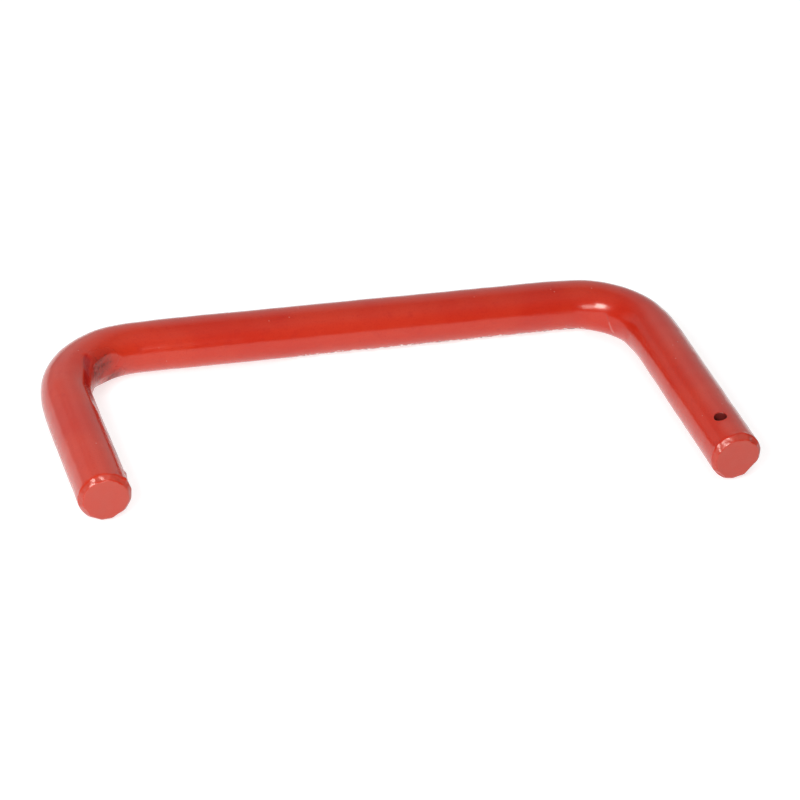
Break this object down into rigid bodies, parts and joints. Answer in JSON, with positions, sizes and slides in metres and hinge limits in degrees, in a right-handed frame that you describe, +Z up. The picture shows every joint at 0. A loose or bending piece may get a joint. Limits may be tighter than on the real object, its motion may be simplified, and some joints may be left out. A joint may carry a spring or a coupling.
{
  "type": "u-shaped tow bar",
  "caption": "U-shaped tow bar bent from round steel, with legs of unequal reach and a small cross hole for a retaining pin near the longer leg's end.",
  "frame": {"origin": "under the middle of the bar's outer box, on the surface it lies on", "axes": "+X along the crossbar towards the drilled leg, -Y from the crossbar towards the legs' free ends, +Z up, square to the plane of the bar"},
  "size_m": [0.324, 0.1606, 0.025],
  "materials": {
    "red_paint": "gloss orange-red enamel, slightly uneven, chipped along the underside and at the bends"
  },
  "bodies": {
    "root": {"bent_bar": "red_paint"}
  },
  "joints": []
}
